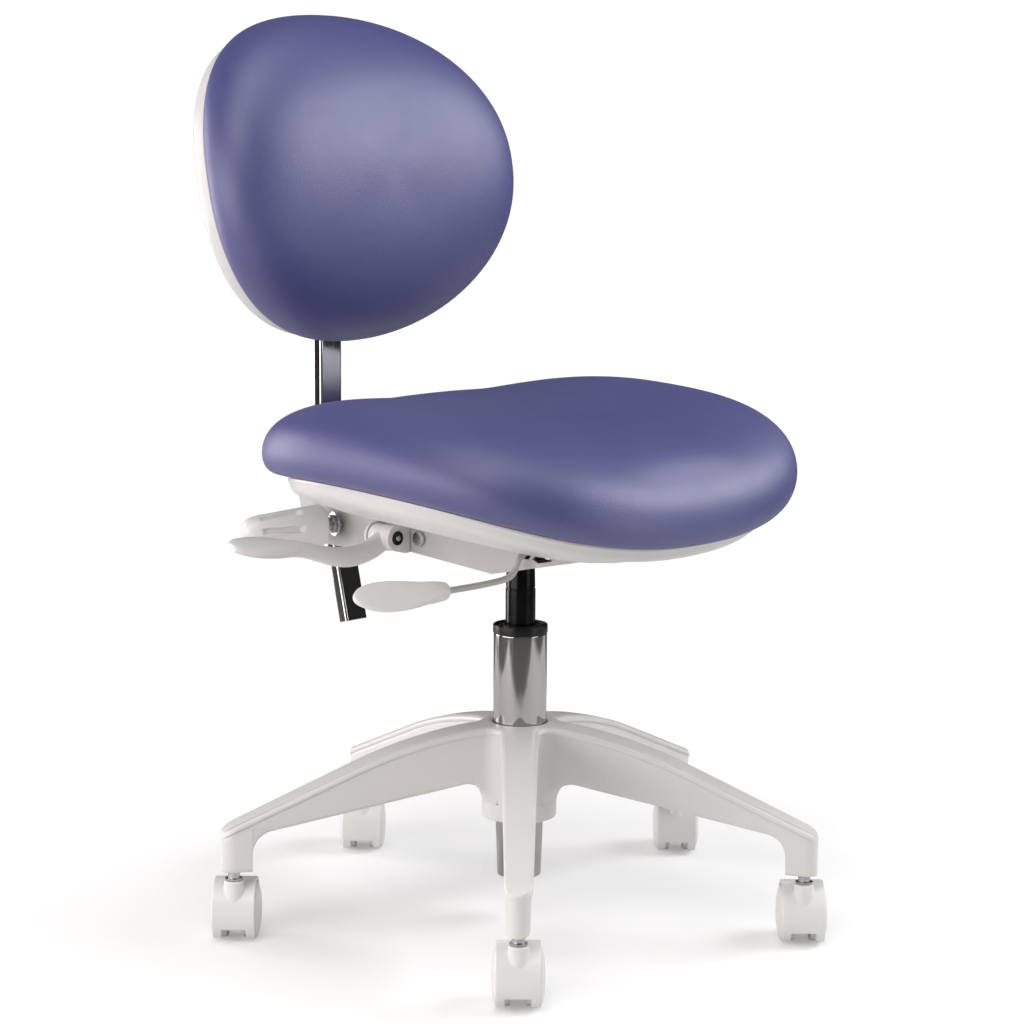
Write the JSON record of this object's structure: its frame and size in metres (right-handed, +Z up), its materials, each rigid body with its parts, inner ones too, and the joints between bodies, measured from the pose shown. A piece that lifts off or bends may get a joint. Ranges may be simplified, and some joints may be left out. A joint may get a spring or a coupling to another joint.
{
  "type": "dentist stool",
  "caption": "Height-adjustable rolling stool with a contoured padded seat, an oval padded backrest on a bent bar, release levers and a star base on twin-wheel casters.",
  "frame": {"origin": "on the floor, under the middle of the whole stool's bounding box at rest", "axes": "+Z up; the sitter faces -Y, so the sitter's right hand is towards -X"},
  "size_m": [0.5855, 0.594, 0.8459],
  "materials": {
    "white_plastic": "satin moulded plastic, warm white",
    "caster_plastic": "smooth white caster plastic",
    "grey_paint": "light grey powder coat",
    "chrome": "polished chrome plate",
    "steel": "zinc plated steel",
    "black_plastic": "black plastic",
    "black_paint": "black enamel",
    "vinyl": "fine-grained periwinkle blue vinyl with a soft sheen",
    "plywood": "raw plywood"
  },
  "bodies": {
    "base": {"star_base": "white_plastic", "outer_tube": "chrome", "guide_bushing": "black_plastic", "thrust_bearing": "steel", "caster_stem_1": "steel", "caster_stem_2": "steel", "caster_stem_3": "steel", "caster_stem_4": "steel", "caster_stem_5": "steel"},
    "caster_1": {"caster_hood_1": "caster_plastic", "caster_axle_1": "steel"},
    "wheel_left_1": {"wheel_left_1": "caster_plastic"},
    "wheel_right_1": {"wheel_right_1": "caster_plastic"},
    "caster_2": {"caster_hood_2": "caster_plastic", "caster_axle_2": "steel"},
    "wheel_left_2": {"wheel_left_2": "caster_plastic"},
    "wheel_right_2": {"wheel_right_2": "caster_plastic"},
    "caster_3": {"caster_hood_3": "caster_plastic", "caster_axle_3": "steel"},
    "wheel_left_3": {"wheel_left_3": "caster_plastic"},
    "wheel_right_3": {"wheel_right_3": "caster_plastic"},
    "caster_4": {"caster_hood_4": "caster_plastic", "caster_axle_4": "steel"},
    "wheel_left_4": {"wheel_left_4": "caster_plastic"},
    "wheel_right_4": {"wheel_right_4": "caster_plastic"},
    "caster_5": {"caster_hood_5": "caster_plastic", "caster_axle_5": "steel"},
    "wheel_left_5": {"wheel_left_5": "caster_plastic"},
    "wheel_right_5": {"wheel_right_5": "caster_plastic"},
    "rod": {"piston_rod": "steel", "rod_clip": "steel"},
    "seat": {"pressure_tube": "black_paint", "rod_guide": "black_plastic", "taper_socket": "steel", "mechanism_channel": "grey_paint", "seat_shell": "white_plastic", "seat_board": "plywood", "seat_cushion": "vinyl", "seat_bolt_1": "steel", "seat_bolt_2": "steel", "seat_bolt_3": "steel", "seat_bolt_4": "steel", "lever_clevis": "white_plastic", "clevis_bolt": "steel", "back_pivot_pin": "steel"},
    "height_lever": {"height_lever": "grey_paint", "height_paddle": "white_plastic"},
    "release_pin": {"release_pin": "steel"},
    "angle_lever": {"angle_lever": "white_plastic"},
    "back_bracket": {"back_bracket": "grey_paint", "bar_guide": "black_plastic", "clamp_block": "steel", "knob_nut": "steel"},
    "height_knob": {"height_knob": "white_plastic", "knob_stud": "steel"},
    "backrest": {"back_bar": "chrome", "back_mount": "steel", "back_shell": "white_plastic", "back_board": "plywood", "back_cushion": "vinyl"}
  },
  "joints": [
    {"name": "caster_1_swivel", "type": "hinge", "parent": "base", "child": "caster_1", "pos_m": [-0.22528, -0.21819, 0.07], "axis": [0, 0, 1], "continuous": true},
    {"name": "wheel_left_1_spin", "type": "hinge", "parent": "caster_1", "child": "wheel_left_1", "pos_m": [-0.21233, -0.20569, 0.025], "axis": [-0.6947, 0.7193, 0], "continuous": true},
    {"name": "wheel_right_1_spin", "type": "hinge", "parent": "caster_1", "child": "wheel_right_1", "pos_m": [-0.21233, -0.20569, 0.025], "axis": [-0.6947, 0.7193, 0], "continuous": true},
    {"name": "caster_2_swivel", "type": "hinge", "parent": "base", "child": "caster_2", "pos_m": [0.09286, -0.27429, 0.07], "axis": [0, 0, 1], "continuous": true},
    {"name": "wheel_left_2_spin", "type": "hinge", "parent": "caster_2", "child": "wheel_left_2", "pos_m": [0.10581, -0.26178, 0.025], "axis": [-0.6947, 0.7193, 0], "continuous": true},
    {"name": "wheel_right_2_spin", "type": "hinge", "parent": "caster_2", "child": "wheel_right_2", "pos_m": [0.10581, -0.26178, 0.025], "axis": [-0.6947, 0.7193, 0], "continuous": true},
    {"name": "caster_3_swivel", "type": "hinge", "parent": "base", "child": "caster_3", "pos_m": [0.24453, 0.01094, 0.07], "axis": [0, 0, 1], "continuous": true},
    {"name": "wheel_left_3_spin", "type": "hinge", "parent": "caster_3", "child": "wheel_left_3", "pos_m": [0.25747, 0.02345, 0.025], "axis": [-0.6947, 0.7193, 0], "continuous": true},
    {"name": "wheel_right_3_spin", "type": "hinge", "parent": "caster_3", "child": "wheel_right_3", "pos_m": [0.25747, 0.02345, 0.025], "axis": [-0.6947, 0.7193, 0], "continuous": true},
    {"name": "caster_4_swivel", "type": "hinge", "parent": "base", "child": "caster_4", "pos_m": [0.02012, 0.24333, 0.07], "axis": [0, 0, 1], "continuous": true},
    {"name": "wheel_left_4_spin", "type": "hinge", "parent": "caster_4", "child": "wheel_left_4", "pos_m": [0.03307, 0.25583, 0.025], "axis": [-0.6947, 0.7193, 0], "continuous": true},
    {"name": "wheel_right_4_spin", "type": "hinge", "parent": "caster_4", "child": "wheel_right_4", "pos_m": [0.03307, 0.25583, 0.025], "axis": [-0.6947, 0.7193, 0], "continuous": true},
    {"name": "caster_5_swivel", "type": "hinge", "parent": "base", "child": "caster_5", "pos_m": [-0.27023, 0.10171, 0.07], "axis": [0, 0, 1], "continuous": true},
    {"name": "wheel_left_5_spin", "type": "hinge", "parent": "caster_5", "child": "wheel_left_5", "pos_m": [-0.25729, 0.11421, 0.025], "axis": [-0.6947, 0.7193, 0], "continuous": true},
    {"name": "wheel_right_5_spin", "type": "hinge", "parent": "caster_5", "child": "wheel_right_5", "pos_m": [-0.25729, 0.11421, 0.025], "axis": [-0.6947, 0.7193, 0], "continuous": true},
    {"name": "seat_swivel", "type": "hinge", "parent": "base", "child": "rod", "pos_m": [-0.0276, -0.0273, 0.2], "axis": [0, 0, 1], "continuous": true},
    {"name": "seat_height", "type": "slide", "parent": "rod", "child": "seat", "axis": [0, 0, 1], "range_m": [-0.03, 0.07]},
    {"name": "height_lever_lift", "type": "hinge", "parent": "seat", "child": "height_lever", "pos_m": [-0.0726, -0.0773, 0.361], "axis": [0, 1, 0], "range_deg": [0, 5], "stiffness_Nm_per_rad": 1.5, "springref_deg": -8.59},
    {"name": "release_pin_press", "type": "slide", "parent": "seat", "child": "release_pin", "axis": [0, 0, -1], "range_m": [0, 0.0045]},
    {"name": "angle_lever_lift", "type": "hinge", "parent": "seat", "child": "angle_lever", "pos_m": [-0.0896, 0.0907, 0.358], "axis": [0, 1, 0], "range_deg": [0, 7], "stiffness_Nm_per_rad": 1.5, "springref_deg": -11.46},
    {"name": "back_angle", "type": "hinge", "parent": "seat", "child": "back_bracket", "pos_m": [-0.0276, 0.0607, 0.3575], "axis": [-1, 0, 0], "range_deg": [-6, 12]},
    {"name": "knob_turn", "type": "hinge", "parent": "back_bracket", "child": "height_knob", "pos_m": [-0.0576, 0.1907, 0.3555], "axis": [-0.9613, 0.2756, 0], "range_deg": [-20, 360]},
    {"name": "back_height", "type": "slide", "parent": "back_bracket", "child": "backrest", "axis": [0, 0.2357, 0.9718], "range_m": [-0.012, 0.06]}
  ],
  "couplings": [
    {"joint": "release_pin_press", "follows": "height_lever_lift", "m_per_rad": 0.045}
  ]
}
